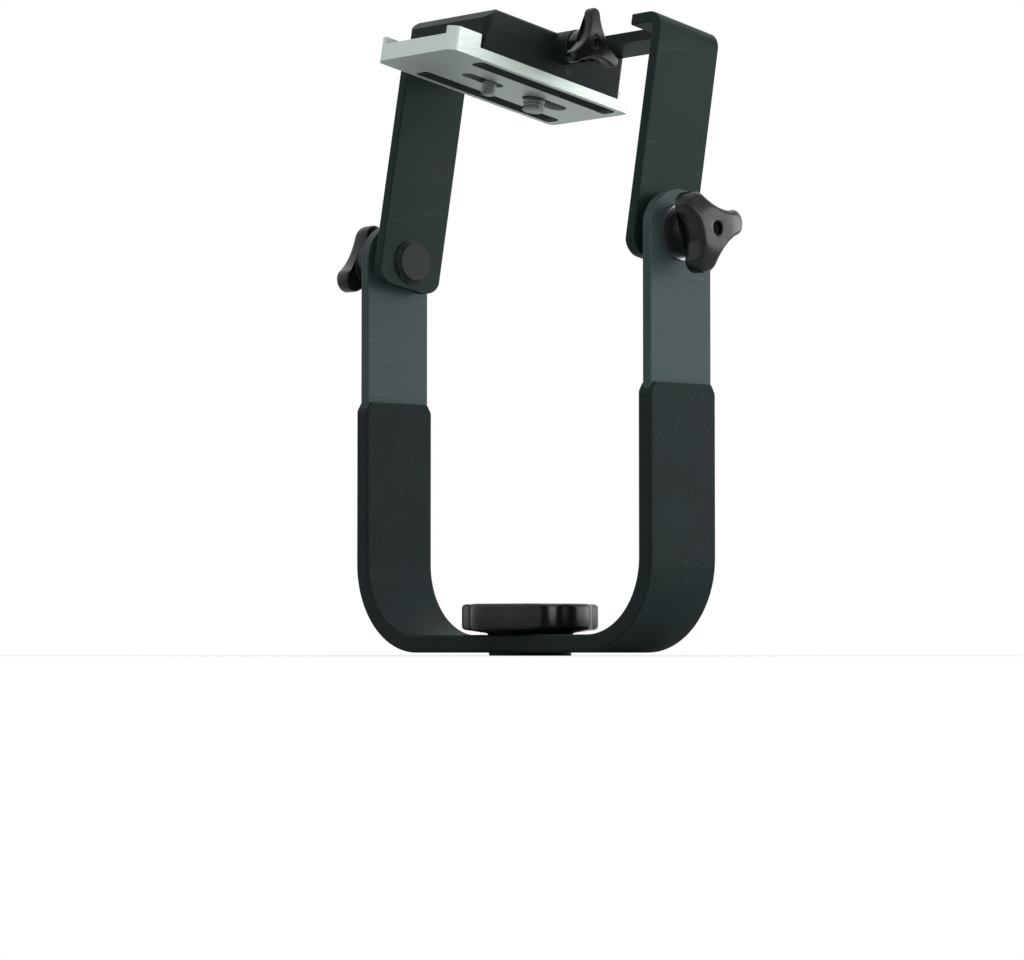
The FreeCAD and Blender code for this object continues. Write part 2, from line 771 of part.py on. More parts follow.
def grub_screw():
    """Grub screw in the boss whose tip runs in the lock screw's groove."""
    top = lock_z + boss_radius - 0.7
    screw = rod(grub_radius, lock_z + 2.6, top, grub_x, lock_y)
    return screw.cut(rod(0.75, top - 1.2, top + 1, grub_x, lock_y))


# ---- safety catch ----

def catch_spring_x():
    return catch_nib_x - catch_nib_length / 2


def catch_low():
    return channel_floor + catch_gap


def spring_ceiling():
    return channel_floor + catch_gap + catch_bar + catch_travel + catch_gap + spring_pocket


def catch_slot():
    reach = catch_width / 2 + catch_gap
    top = catch_low() + catch_bar + catch_travel + catch_gap
    return box(-clamp_half_width - 1, catch_nib_x + catch_gap, catch_y - reach, catch_y + reach,
               channel_floor - 0.01, top)


def safety_catch():
    low = catch_low()
    high = low + catch_bar
    outer = -clamp_half_width - catch_gap
    y0 = catch_y - catch_width / 2
    y1 = catch_y + catch_width / 2
    bar = box(outer - catch_tab, catch_nib_x, y0, y1, low, high)
    nib = box(catch_nib_x - catch_nib_length, catch_nib_x, y0, y1, low - catch_nib, low)
    under = low - catch_tab_drop
    tab = rounded_plate(outer - catch_tab, outer, y0 - catch_tab_side, y1 + catch_tab_side,
                        under, high + catch_tab_rise, catch_tab_round)
    for step in (-1, 0, 1):
        middle = catch_y + step * catch_rib_pitch
        tab = tab.cut(box(outer - catch_tab - 1, outer + 1, middle - catch_rib_groove / 2,
                          middle + catch_rib_groove / 2, under - 1, under + catch_rib_depth))
    seat = rod(catch_seat_radius, high, high + catch_seat, catch_spring_x(), catch_y)
    return bar.fuse(nib).fuse(tab).fuse(seat).removeSplitter()


def catch_spring():
    """Square-wire coil spring between the catch and the end of its bore in the clamp."""
    low = catch_low() + catch_bar + spring_wire
    high = spring_ceiling() - spring_wire
    pitch = (high - low) / spring_turns
    helix = Part.makeHelix(pitch, high - low, spring_radius)
    corners = [Vector(spring_radius + out * spring_wire, 0, up * spring_wire)
               for out, up in ((-1, -1), (1, -1), (1, 1), (-1, 1), (-1, -1))]
    coil = Part.Wire(helix).makePipeShell([Part.makePolygon(corners)], True, True)
    coil.translate(Vector(catch_spring_x(), catch_y, low))
    return coil


# ---- sliding lens plate ----

def slot_cut(ends, half_width, z0, z1):
    """Round-ended slot along Y."""
    slot = box(-half_width, half_width, ends[0], ends[1], z0, z1)
    slot = slot.fuse(rod(half_width, z0, z1, 0, ends[0]))
    return slot.fuse(rod(half_width, z0, z1, 0, ends[1]))


def slot_centres(ends, half_width):
    return (ends[0] + half_width, ends[1] - half_width)


def sliding_plate():
    """Aluminium plate: flat platform for the lens foot, rail for the clamp, solid nose."""
    half = plate_half_width
    corner = plate_corner
    platform = rounded_prism([(-half, plate_front + nose_corner_y, corner),
                              (-half + nose_corner_x, plate_front, corner),
                              (half - nose_corner_x, plate_front, corner),
                              (half, plate_front + nose_corner_y, corner),
                              (half, plate_rear, corner), (-half, plate_rear, corner)],
                             plate_under, plate_ledge)
    section = [(-rail_foot_half, plate_ledge), (-rail_half_width, plate_top),
               (rail_half_width, plate_top), (rail_foot_half, plate_ledge)]
    rail = profile_along_y(section, nose_rear, plate_rear)
    nose = rounded_prism([(-half, plate_front + nose_corner_y, corner),
                          (-half + nose_corner_x, plate_front, corner),
                          (half - nose_corner_x, plate_front, corner),
                          (half, plate_front + nose_corner_y, corner),
                          (half, nose_rear, nose_end_corner), (-half, nose_rear, nose_end_corner)],
                         plate_ledge - 1, plate_top)
    inner = half - nose_lip
    hollow = box(-inner, inner, plate_front - 1, nose_rear - nose_web,
                 plate_top - nose_recess, plate_top + 1)
    nose = nose.cut(hollow)
    plate = platform.fuse(rail).fuse(nose).removeSplitter()
    head_floor = screw_seat()
    for ends, shank, head in ((front_slot, front_screw_radius, front_head_radius),
                              (rear_slot, rear_screw_radius, rear_head_radius)):
        centres = slot_centres(ends, head + slot_slack)
        plate = plate.cut(slot_cut(centres, shank + slot_slack, plate_under - 1, plate_top + 1))
        plate = plate.cut(slot_cut(centres, head + slot_slack, head_floor, plate_top + 1))
    plate = plate.cut(box(catch_nib_x - catch_nib_length - catch_gap, catch_nib_x + catch_gap,
                          groove_front, plate_stop, plate_top - groove_depth, plate_top + 1))
    return plate.cut(plate_pads(0))


def screw_seat():
    return plate_top - head_height - screw_washer - 3 * face_gap - 0.3


def plate_pads(proud):
    """Two rubber strips let into the platform, standing proud of it by the given height."""
    pads = []
    for x0 in (pad_inner, -pad_inner - pad_width):
        pads.append(rounded_plate(x0, x0 + pad_width, pad_ends[0], pad_ends[1],
                                  plate_under - proud, plate_under + pad_depth, pad_corner))
    return Part.makeCompound(pads)


def screw_washer_ring(shank, head, y):
    low = screw_seat() + face_gap
    washer = ring(head - 0.4, shank + 2 * running_gap, low, low + screw_washer)
    washer.translate(Vector(0, y, 0))
    return washer


def lens_screw(shank, head, y):
    """Slotted screw that stands out of the platform into the lens foot."""
    seat = screw_seat() + screw_washer + 2 * face_gap
    top = seat + head_height
    tip = plate_under - screw_reach
    neck = shank - screw_relief
    shoulder = plate_under - screw_relief
    profile = [(0, tip), (shank - screw_lead, tip), (shank, tip + screw_lead), (shank, shoulder),
               (neck, shoulder), (neck, seat), (head, seat), (head, top - 0.6),
               (head - 0.6, top), (0, top)]
    screw = turned(profile)
    screw = screw.cut(box(-head - 1, head + 1, -coin_slot / 2, coin_slot / 2, top - 1.6, top + 1))
    screw.translate(Vector(0, y, 0))
    return screw


def write(name, shape):
    solids = shape.Solids
    for solid in solids:
        if not solid.isValid() or solid.Volume <= 0:
            raise ValueError(name + " is not a sound solid")
    shape.exportStep("parts/" + name + ".step")
    print(name, len(solids), "solids", round(shape.Volume / 1000, 2), "cm3")


os.makedirs("parts", exist_ok=True)

fixed_parts = {
    "foot": foot(),
    "slip_washer": slip_washer_ring(),
    "thrust_washer": thrust_washer_ring(),
    "stem_keeper": stem_keeper(),
    "stem_screw": stem_screw(),
    "pan_knob": pan_knob(),
    "pan_knob_insert": pan_knob_insert(),
    "fork_frame": fork_frame(),
    "grip_sleeve": grip_sleeve(),
    "pan_bush": pan_bush(),
}

swing_parts = {
    "swing_bracket": swing_bracket(),
    "clamp_screws": clamp_screws(),
    "clamp_body": clamp_body(),
    "clamp_jaw": clamp_jaw(),
    "jaw_guide_pins": jaw_guide_pins(),
    "lock_screw": lock_screw(),
    "lock_knob": lock_knob(),
    "grub_screw": grub_screw(),
    "safety_catch": safety_catch(),
    "catch_spring": catch_spring(),
    "sliding_plate": sliding_plate(),
    "plate_pads": plate_pads(pad_proud),
    "front_screw_washer": screw_washer_ring(front_screw_radius, front_head_radius, front_screw_y),
    "rear_screw_washer": screw_washer_ring(rear_screw_radius, rear_head_radius, rear_screw_y),
    "front_lens_screw": lens_screw(front_screw_radius, front_head_radius, front_screw_y),
    "rear_lens_screw": lens_screw(rear_screw_radius, rear_head_radius, rear_screw_y),
}

for side, label, angle in ((1, "right", right_knob_angle), (-1, "left", left_knob_angle)):
    swing_parts["pivot_stud_" + label] = pivot_stud(side)
    swing_parts["tilt_knob_" + label] = tilt_knob(side, angle)
    swing_parts["tilt_knob_insert_" + label] = tilt_knob_insert(side)
    for name, shape in (("friction_disc_", friction_disc(side)), ("tilt_bush_", tilt_bush(side)),
                        ("tilt_washer_", tilt_washer_ring(side))):
        shape.translate(Vector(0, 0, pivot_height))
        fixed_parts[name + label] = shape

for name, shape in fixed_parts.items():
    write(name, shape)
for name, shape in swing_parts.items():
    write(name, swing_place(shape))
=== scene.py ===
import bpy
import bmesh
import json
import math
from mathutils import Matrix, Vector


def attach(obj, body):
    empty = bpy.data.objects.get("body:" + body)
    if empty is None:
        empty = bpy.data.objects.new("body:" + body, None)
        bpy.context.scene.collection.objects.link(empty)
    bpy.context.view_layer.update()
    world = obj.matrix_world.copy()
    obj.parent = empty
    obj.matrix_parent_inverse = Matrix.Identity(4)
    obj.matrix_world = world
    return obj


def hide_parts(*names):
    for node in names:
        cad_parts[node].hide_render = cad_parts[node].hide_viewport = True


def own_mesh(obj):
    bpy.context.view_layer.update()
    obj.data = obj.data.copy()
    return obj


# Gimbal head for a long lens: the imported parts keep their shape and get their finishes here,
# and the knobs, lens screws, foot, pads and catch spring are made again with finer meshes.
# Everything is in metres in the parts' own frame: +Z up on the pan axis, +X across the fork.

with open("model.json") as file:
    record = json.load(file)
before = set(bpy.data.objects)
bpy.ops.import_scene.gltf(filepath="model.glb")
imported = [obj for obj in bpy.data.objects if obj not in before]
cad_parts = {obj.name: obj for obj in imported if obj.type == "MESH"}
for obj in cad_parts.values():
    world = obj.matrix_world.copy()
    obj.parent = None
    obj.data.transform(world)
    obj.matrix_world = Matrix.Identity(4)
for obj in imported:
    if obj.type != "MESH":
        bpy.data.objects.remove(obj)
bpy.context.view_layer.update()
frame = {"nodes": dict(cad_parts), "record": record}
nodes = frame["nodes"]
print("frame loaded:", len(nodes), "nodes")

mm = 0.001
fork = {"pivotHeight": 178 * mm, "restTilt": 10}
swingFrame = (Matrix.Translation((0, 0, fork["pivotHeight"]))
              @ Matrix.Rotation(math.radians(-fork["restTilt"]), 4, "X"))
rightSide = Matrix.Rotation(math.radians(90), 4, "Y")  # along +Z becomes along +X
leftSide = Matrix.Rotation(math.radians(180), 4, "Z") @ rightSide
sharpAngle = {"packed": 24, "made": 32, "threaded": 40}  # faces that meet at more stay sharp


# camera

cameraView = {"azimuth": 47.61, "tilt": 2.545, "distance": 1.6962, "height": 1.34 * mm,
              "aside": 7.92 * mm, "lens": 136.55, "sensor": 36, "nearest": 10 * mm}

turn = math.radians(cameraView["azimuth"])
towardCamera = Vector((math.sin(turn), -math.cos(turn), 0))
cameraRight = Vector((math.cos(turn), math.sin(turn), 0))
cameraTilt = math.radians(cameraView["tilt"])
lookAlong = Vector((0, 0, math.sin(cameraTilt))) - towardCamera * math.cos(cameraTilt)
cameraData = bpy.data.cameras.new("viewCamera")
cameraData.lens = cameraView["lens"]
cameraData.sensor_width = cameraView["sensor"]
cameraData.sensor_fit = "HORIZONTAL"
cameraData.clip_start = cameraView["nearest"]
camera = bpy.data.objects.new("viewCamera", cameraData)
camera.location = (towardCamera * cameraView["distance"] - cameraRight * cameraView["aside"]
                   + Vector((0, 0, cameraView["height"])))
camera.rotation_mode = "QUATERNION"
camera.rotation_quaternion = lookAlong.to_track_quat("-Z", "Y")
bpy.context.scene.collection.objects.link(camera)
bpy.context.scene.camera = camera
bpy.context.scene.view_settings.view_transform = "Standard"


# small node helpers

def startMaterial(name):
    material = bpy.data.materials.new(name)
    material.use_nodes = True
    tree = material.node_tree
    tree.nodes.clear()
    output = tree.nodes.new("ShaderNodeOutputMaterial")
    shader = tree.nodes.new("ShaderNodeBsdfPrincipled")
    tree.links.new(shader.outputs["BSDF"], output.inputs["Surface"])
    return material, tree, shader


# points on the piece itself, stretched for grain that runs one way
def objectPoints(tree, stretch=(1, 1, 1), tilt=0.0):
    coords = tree.nodes.new("ShaderNodeTexCoord")
    mapping = tree.nodes.new("ShaderNodeMapping")
    mapping.inputs["Scale"].default_value = stretch
    mapping.inputs["Rotation"].default_value = (math.radians(tilt), 0, 0)
    tree.links.new(coords.outputs["Object"], mapping.inputs["Vector"])
    return mapping.outputs["Vector"]


def noiseAt(tree, points, scale, detail=3.0, roughness=0.5):
    noise = tree.nodes.new("ShaderNodeTexNoise")
    noise.inputs["Scale"].default_value = scale
    noise.inputs["Detail"].default_value = detail
    noise.inputs["Roughness"].default_value = roughness
    tree.links.new(points, noise.inputs["Vector"])
    return noise.outputs["Fac"]


# a value mapped to the range from low to high; plain noise lies between 0.3 and 0.7
def spread(tree, value, low, high, fromLow=0.3, fromHigh=0.7):
    node = tree.nodes.new("ShaderNodeMapRange")
    node.inputs["From Min"].default_value = fromLow
    node.inputs["From Max"].default_value = fromHigh
    node.inputs["To Min"].default_value = low
    node.inputs["To Max"].default_value = high
    tree.links.new(value, node.inputs["Value"])
    return node.outputs["Result"]


def blendColours(tree, share, first, second):
    mix = tree.nodes.new("ShaderNodeMix")
    mix.data_type = "RGBA"
    for socket, colour in ((mix.inputs[6], first), (mix.inputs[7], second)):
        if isinstance(colour, tuple):
            socket.default_value = (*colour, 1)
        else:
            tree.links.new(colour, socket)
    tree.links.new(share, mix.inputs["Factor"])
    return mix.outputs[2]


def bumpFrom(tree, height, strength, distance, below=None):
    bump = tree.nodes.new("ShaderNodeBump")
    bump.inputs["Strength"].default_value = strength
    bump.inputs["Distance"].default_value = distance
    tree.links.new(height, bump.inputs["Height"])
    if below is not None:
        tree.links.new(below, bump.inputs["Normal"])
    return bump.outputs["Normal"]


# 1 along a piece's sharp edges, 0 on its flats
def edgeShare(tree, width, low=0.02, high=0.16):
    bevel = tree.nodes.new("ShaderNodeBevel")
    bevel.samples = 4
    bevel.inputs["Radius"].default_value = width
    geometry = tree.nodes.new("ShaderNodeNewGeometry")
    dot = tree.nodes.new("ShaderNodeVectorMath")
    dot.operation = "DOT_PRODUCT"
    tree.links.new(bevel.outputs["Normal"], dot.inputs[0])
    tree.links.new(geometry.outputs["Normal"], dot.inputs[1])
    return spread(tree, dot.outputs["Value"], 1, 0, 1 - high, 1 - low)


def times(tree, first, second):
    node = tree.nodes.new("ShaderNodeMath")
    node.operation = "MULTIPLY"
    for socket, value in zip(node.inputs, (first, second)):
        if isinstance(value, float):
            socket.default_value = value
        else:
            tree.links.new(value, socket)
    return node.outputs["Value"]


# finishes

# sprayed paint: fine grain, cloudy gloss, hairline scratches, rubbed edges
def paint(name, look):
    material, tree, shader = startMaterial(name)
    points = objectPoints(tree)
    cloud = noiseAt(tree, points, look["cloudScale"], 4)
    fleck = noiseAt(tree, points, look["fleckScale"], 2)
    peel = noiseAt(tree, points, look["peelScale"], 3)
    scratch = noiseAt(tree, objectPoints(tree, look["scratchStretch"], look["scratchTilt"]), 1, 1)
    scratched = spread(tree, scratch, 0, look["scratch"], *look["scratchRange"])
    colour = blendColours(tree, spread(tree, cloud, 0, 1), look["colour"], look["cloudColour"])
    colour = blendColours(tree, spread(tree, fleck, 0, look["fleck"], *look["fleckRange"]),
                          colour, look["fleckColour"])
    colour = blendColours(tree, scratched, colour, look["edgeColour"])
    wear = noiseAt(tree, points, look["wearScale"], 4)
    worn = times(tree, edgeShare(tree, look["edgeWidth"]),
                 spread(tree, wear, 0, look["edgeWear"], *look["wearRange"]))
    colour = blendColours(tree, worn, colour, look["edgeColour"])
    tree.links.new(colour, shader.inputs["Base Color"])
    tree.links.new(spread(tree, cloud, look["gloss"][0], look["gloss"][1]),
                   shader.inputs["Roughness"])
    tree.links.new(bumpFrom(tree, peel, look["peel"], look["peelHeight"]),
                   shader.inputs["Normal"])
    shader.inputs["Specular IOR Level"].default_value = look["specular"]
    return material


# moulded rubber with a fine pebbled face, dusty in the hollows
def rubber(name, look):
    material, tree, shader = startMaterial(name)
    points = objectPoints(tree)
    pebble = tree.nodes.new("ShaderNodeTexVoronoi")
    pebble.feature = "SMOOTH_F1"
    pebble.inputs["Scale"].default_value = look["pebbleScale"]
    pebble.inputs["Smoothness"].default_value = look["pebbleSmooth"]
    tree.links.new(points, pebble.inputs["Vector"])
    hollow = pebble.outputs["Distance"]
    grain = noiseAt(tree, points, look["grainScale"], 3)
    cloud = noiseAt(tree, points, look["cloudScale"], 4)
    colour = blendColours(tree, spread(tree, cloud, 0, 1), look["colour"], look["cloudColour"])
    colour = blendColours(tree, spread(tree, hollow, 0, look["dust"], *look["dustRange"]),
                          colour, look["dustColour"])
    tree.links.new(colour, shader.inputs["Base Color"])
    tree.links.new(spread(tree, grain, look["gloss"][0], look["gloss"][1]),
                   shader.inputs["Roughness"])
    low = bumpFrom(tree, grain, look["grain"], look["grainHeight"])
    raised = spread(tree, hollow, 1, 0, *look["pebbleRange"])
    tree.links.new(bumpFrom(tree, raised, look["pebble"], look["pebbleHeight"], low),
                   shader.inputs["Normal"])
    shader.inputs["Specular IOR Level"].default_value = look["specular"]
    return material


# moulded plastic: smooth skin with a faint grain and flow marks
def plastic(name, look):
    material, tree, shader = startMaterial(name)
    points = objectPoints(tree)
    flow = noiseAt(tree, points, look["flowScale"], 3)
    grain = noiseAt(tree, points, look["grainScale"], 3)
    colour = blendColours(tree, spread(tree, flow, 0, 1), look["colour"], look["flowColour"])
    worn = times(tree, edgeShare(tree, look["edgeWidth"]),
                 spread(tree, flow, 0, look["edgeWear"]))
    colour = blendColours(tree, worn, colour, look["edgeColour"])
    tree.links.new(colour, shader.inputs["Base Color"])
    tree.links.new(spread(tree, flow, look["gloss"][0], look["gloss"][1]),
                   shader.inputs["Roughness"])
    tree.links.new(bumpFrom(tree, grain, look["grain"], look["grainHeight"]),
                   shader.inputs["Normal"])
    shader.inputs["Specular IOR Level"].default_value = look["specular"]
    return material


# bare metal with grain that runs one way, a few scratches and rubbed edges
def metal(name, look):
    material, tree, shader = startMaterial(name)
    points = objectPoints(tree)
    grainPoints = objectPoints(tree, look["stretch"], look["tilt"])
    grain = noiseAt(tree, grainPoints, look["grainScale"], 4, 0.6)
    cloud = noiseAt(tree, points, look["cloudScale"], 4)
    scratchPoints = objectPoints(tree, look["scratchStretch"], look["tilt"] + look["scratchTurn"])
    scratch = noiseAt(tree, scratchPoints, look["scratchScale"], 2)
    colour = blendColours(tree, spread(tree, grain, 0, 1), look["colour"], look["grainColour"])
    colour = blendColours(tree, times(tree, spread(tree, cloud, 0, 1), look["cloud"]),
                          colour, look["cloudColour"])
    colour = blendColours(tree, times(tree, edgeShare(tree, look["edgeWidth"]), look["edgeWear"]),
                          colour, look["edgeColour"])
    tree.links.new(colour, shader.inputs["Base Color"])
    tree.links.new(spread(tree, grain, look["gloss"][0], look["gloss"][1]),
                   shader.inputs["Roughness"])
    fine = bumpFrom(tree, grain, look["grain"], look["grainHeight"])
    scratched = spread(tree, scratch, 0, 1, *look["scratchRange"])
    tree.links.new(bumpFrom(tree, scratched, look["scratch"], look["grainHeight"], fine),
                   shader.inputs["Normal"])
    shader.inputs["Metallic"].default_value = 1.0
    return material


# the fork bar wears the same black paint as the bracket; its lighter grey colour here is painted
# sheen for the brighter light the bare fork bar catches
litForkPaint = {"colour": (0.041, 0.069, 0.072), "cloudColour": (0.053, 0.083, 0.086),
             "cloudScale": 24, "fleck": 0.5, "fleckScale": 1500, "fleckRange": (0.60, 0.72),
             "fleckColour": (0.09, 0.12, 0.123), "peel": 0.35, "peelScale": 1500,
             "peelHeight": 0.12 * mm, "gloss": (0.34, 0.50), "specular": 0.11,
             "scratch": 0.12, "scratchStretch": (640, 46, 640), "scratchTilt": 63,
             "scratchRange": (0.70, 0.735), "edgeWidth": 0.6 * mm, "edgeWear": 0.75,
             "edgeColour": (0.19, 0.22, 0.22), "wearScale": 260, "wearRange": (0.35, 0.62)}
bracketPaint = {**litForkPaint, "colour": (0.011, 0.022, 0.021), "cloudColour": (0.016, 0.029, 0.028),
                "fleckColour": (0.040, 0.052, 0.052), "gloss": (0.38, 0.54),
                "edgeColour": (0.09, 0.108, 0.106), "specular": 0.072}
clampPaint = {**litForkPaint, "colour": (0.008, 0.013, 0.014), "cloudColour": (0.012, 0.018, 0.019),
              "fleckColour": (0.035, 0.042, 0.043), "cloudScale": 45, "peel": 0.3,
              "peelScale": 2600, "gloss": (0.44, 0.58), "edgeColour": (0.10, 0.11, 0.11),
              "specular": 0.12}
darkAluminium = {**clampPaint, "peel": 0.1, "gloss": (0.30, 0.42), "specular": 0.3}
blackSteel = {**clampPaint, "peel": 0.12, "gloss": (0.34, 0.46), "edgeColour": (0.20, 0.20, 0.20)}
gripRubber = {"colour": (0.008, 0.015, 0.0155), "cloudColour": (0.012, 0.021, 0.022),
              "cloudScale": 30, "dust": 0.3, "dustColour": (0.026, 0.035, 0.036),
              "dustRange": (0.3, 0.75), "pebble": 0.8, "pebbleScale": 900,
              "pebbleSmooth": 0.6, "pebbleHeight": 0.25 * mm, "pebbleRange": (0, 0.8),
              "grain": 0.3, "grainScale": 3800, "grainHeight": 0.1 * mm,
              "gloss": (0.50, 0.66), "specular": 0.09}
knobPlastic = {"colour": (0.006, 0.008, 0.009), "flowColour": (0.010, 0.013, 0.014),
               "flowScale": 55, "grain": 0.10, "grainScale": 2600, "grainHeight": 0.08 * mm,
               "gloss": (0.19, 0.28), "edgeWidth": 0.5 * mm, "edgeWear": 0.3,
               "edgeColour": (0.04, 0.045, 0.048), "specular": 0.28}
nylon = {**knobPlastic, "colour": (0.05, 0.05, 0.052), "flowColour": (0.07, 0.07, 0.072),
         "gloss": (0.42, 0.55)}
plateAluminium = {"colour": (0.53, 0.60, 0.56), "grainColour": (0.45, 0.51, 0.48),
                  "grainScale": 1.0, "stretch": (2600, 26, 2600), "tilt": fork["restTilt"],
                  "grain": 0.12, "grainHeight": 0.05 * mm, "cloudScale": 40, "cloud": 0.25,
                  "cloudColour": (0.60, 0.66, 0.62), "gloss": (0.46, 0.58), "scratch": 0.10,
                  "scratchStretch": (900, 14, 900), "scratchScale": 1.0, "scratchTurn": 14,
                  "scratchRange": (0.66, 0.74),
                  "edgeWidth": 0.4 * mm, "edgeWear": 0.5, "edgeColour": (0.74, 0.78, 0.76)}
screwSteel = {**plateAluminium, "colour": (0.30, 0.31, 0.32), "grainColour": (0.24, 0.25, 0.26),
              "stretch": (1, 1, 1), "tilt": 0.0, "grainScale": 2400, "grain": 0.08,
              "cloudColour": (0.36, 0.37, 0.38), "gloss": (0.32, 0.44),
              "edgeColour": (0.42, 0.43, 0.44)}
bushBronze = {**screwSteel, "colour": (0.50, 0.36, 0.19), "grainColour": (0.40, 0.28, 0.14),
              "cloudColour": (0.58, 0.43, 0.25), "gloss": (0.34, 0.46),
              "edgeColour": (0.68, 0.52, 0.32)}

finishes = {
    "fork_paint": paint("litForkPaint", litForkPaint),
    "grip_rubber": rubber("gripRubber", gripRubber),
    "bracket_paint": paint("bracketPaint", bracketPaint),
    "clamp_paint": paint("clampPaint", clampPaint),
    "dark_aluminium": paint("darkAluminium", darkAluminium),
    "black_steel": paint("blackSteel", blackSteel),
    "plate_aluminium": metal("plateAluminium", plateAluminium),
    "knob_plastic": plastic("knobPlastic", knobPlastic),
    "nylon": plastic("nylonPlastic", nylon),
    "screw_steel": metal("screwSteel", screwSteel),
    "bush_bronze": metal("bushBronze", bushBronze),
}
slotOf = {part["node"]: part["material_slot"] for part in frame["record"]["subparts"]}
for name, part in nodes.items():
    for place in part.material_slots:
        place.material = finishes[slotOf[name]]
    for polygon in part.data.polygons:
        polygon.use_smooth = True
    part.data.set_sharp_from_angle(angle=math.radians(sharpAngle["packed"]))
print("finishes:", len(finishes))


# mesh helpers

roundMiddle = 0.3  # a round edge's middle lies this share of its radius in from its corner


def circle(radius, height, count, start=0.0):
    return [Vector((radius * math.cos(start + 2 * math.pi * i / count),
                    radius * math.sin(start + 2 * math.pi * i / count), height))
            for i in range(count)]


# mesh through rings of equal length: its ends are closed with a fan, or joined to each other
def loft(rings, joined=False):
    mesh = bmesh.new()
    rows = [[mesh.verts.new(point) for point in ring] for ring in rings]
    count = len(rows[0])
    for below, above in zip(rows, rows[1:] + rows[:1] if joined else rows[1:]):
        for i in range(count):
            following = (i + 1) % count
            mesh.faces.new((below[i], below[following], above[following], above[i]))
    for row in () if joined else (rows[0], rows[-1]):
        middle = mesh.verts.new(sum((vert.co for vert in row), Vector()) / count)
        for i in range(count):
            mesh.faces.new((row[i], row[(i + 1) % count], middle))
    bmesh.ops.recalc_face_normals(mesh, faces=mesh.faces[:])
    return mesh


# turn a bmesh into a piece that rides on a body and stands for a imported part
def addPiece(name, mesh, place, body, slot, part, sharp=sharpAngle["made"]):
    data = bpy.data.meshes.new(name)
    mesh.transform(place)
    mesh.to_mesh(data)
    mesh.free()
    for polygon in data.polygons:
        polygon.use_smooth = True
    data.set_sharp_from_angle(angle=math.radians(sharp))
    data.materials.append(finishes[slot])
    piece = bpy.data.objects.new(name, data)
    bpy.context.scene.collection.objects.link(piece)
    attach(piece, body)
    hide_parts(part)
    return piece


# moulded knobs

# knob outline moved inwards by a distance: round lobes, round hollows between them
def lobedRing(knob, inset, height):
    tip, lobe, waist, count = knob["tip"], knob["lobe"], knob["waist"], knob["lobes"]
    reach = tip - lobe
    step = math.pi / count
    meet = math.cos(step)
    hollow = (reach ** 2 + waist ** 2 - 2 * reach * waist * meet - lobe ** 2)
    hollow = hollow / (2 * (reach * meet + lobe - waist))
    points = []
    for i in range(count):
        turn = math.radians(knob["angle"]) + 2 * i * step
        centre = Vector((reach * math.cos(turn), reach * math.sin(turn), 0))
        between = turn + step
        away = waist + hollow
        hollowCentre = Vector((away * math.cos(between), away * math.sin(between), 0))
        toward = hollowCentre - centre
        half = math.atan2(toward.y, toward.x) - turn
        half = (half + math.pi) % (2 * math.pi) - math.pi
        for k in range(knob["lobeSteps"] + 1):
            phi = turn - half + 2 * half * k / knob["lobeSteps"]
            out = lobe - inset
            points.append(centre + Vector((out * math.cos(phi), out * math.sin(phi), height)))
        swing = half - step
        for k in range(1, knob["hollowSteps"]):
            phi = between + math.pi + swing * (1 - 2 * k / knob["hollowSteps"])
            out = hollow + inset
            points.append(hollowCentre + Vector((out * math.cos(phi), out * math.sin(phi), height)))
    return points


# angles of a quarter turn, ends included
def quarter(steps):
    return [math.pi / 2 * i / steps for i in range(steps + 1)]


# how far the head's face lies behind its middle at a point
def faceFall(knob, point):
    out = max(0.0, math.hypot(point.x, point.y) - knob["flat"]) / (knob["tip"] - knob["flat"])
    return knob["drop"] * out ** knob["dome"]


# three-lobed knob: bored tapered hub, lobed head with a domed face and a round edge, an eye
def sideKnobMesh(knob):
    back = knob["start"] + knob["hubLength"]
    front = back + knob["headLength"]
    edge, rear = knob["edge"], knob["rearEdge"]
    chamfer, flare = knob["hubChamfer"], knob["hubFlare"]
    count = knob["lobes"] * (knob["lobeSteps"] + knob["hollowSteps"])
    start = math.radians(knob["angle"]) - math.pi / count
    narrow = knob["hubRadius"] * knob["hubTaper"]
    rings = [circle(knob["bore"], knob["start"] + knob["boreDepth"], count, start),
             circle(knob["bore"], knob["start"], count, start),
             circle(narrow - chamfer, knob["start"], count, start),
             circle(narrow, knob["start"] + chamfer, count, start),
             circle(knob["hubRadius"], back - flare, count, start),
             circle(knob["hubRadius"] + flare, back, count, start),
             lobedRing(knob, rear, back)]
    for phi in quarter(knob["rearSteps"])[1:]:
        rings.append(lobedRing(knob, rear * (1 - math.sin(phi)), back + rear * (1 - math.cos(phi))))
    for phi in quarter(knob["edgeSteps"]):
        rim = lobedRing(knob, edge * (1 - math.cos(phi)), front - edge * (1 - math.sin(phi)))
        rings.append([point - Vector((0, 0, faceFall(knob, point))) for point in rim])
    eye, mouth, corner = knob["eyeRadius"], knob["eyeMouth"], knob["eyeFloor"]
    bottom = front - knob["eyeDepth"]
    rim, middle = lobedRing(knob, edge, front), circle(eye + mouth, front, count, start)
    for k in range(1, knob["faceSteps"]):
        share = k / knob["faceSteps"]
        between = [point.lerp(inner, share) for point, inner in zip(rim, middle)]
        rings.append([point - Vector((0, 0, faceFall(knob, point))) for point in between])
    bend = roundMiddle * mouth
    for radius, z in ((eye + mouth, front), (eye + bend, front - bend), (eye, front - mouth),
                      (eye, bottom + corner), (eye - corner, bottom)):
        rings.append(circle(radius, z, count, start))
    return loft(rings)


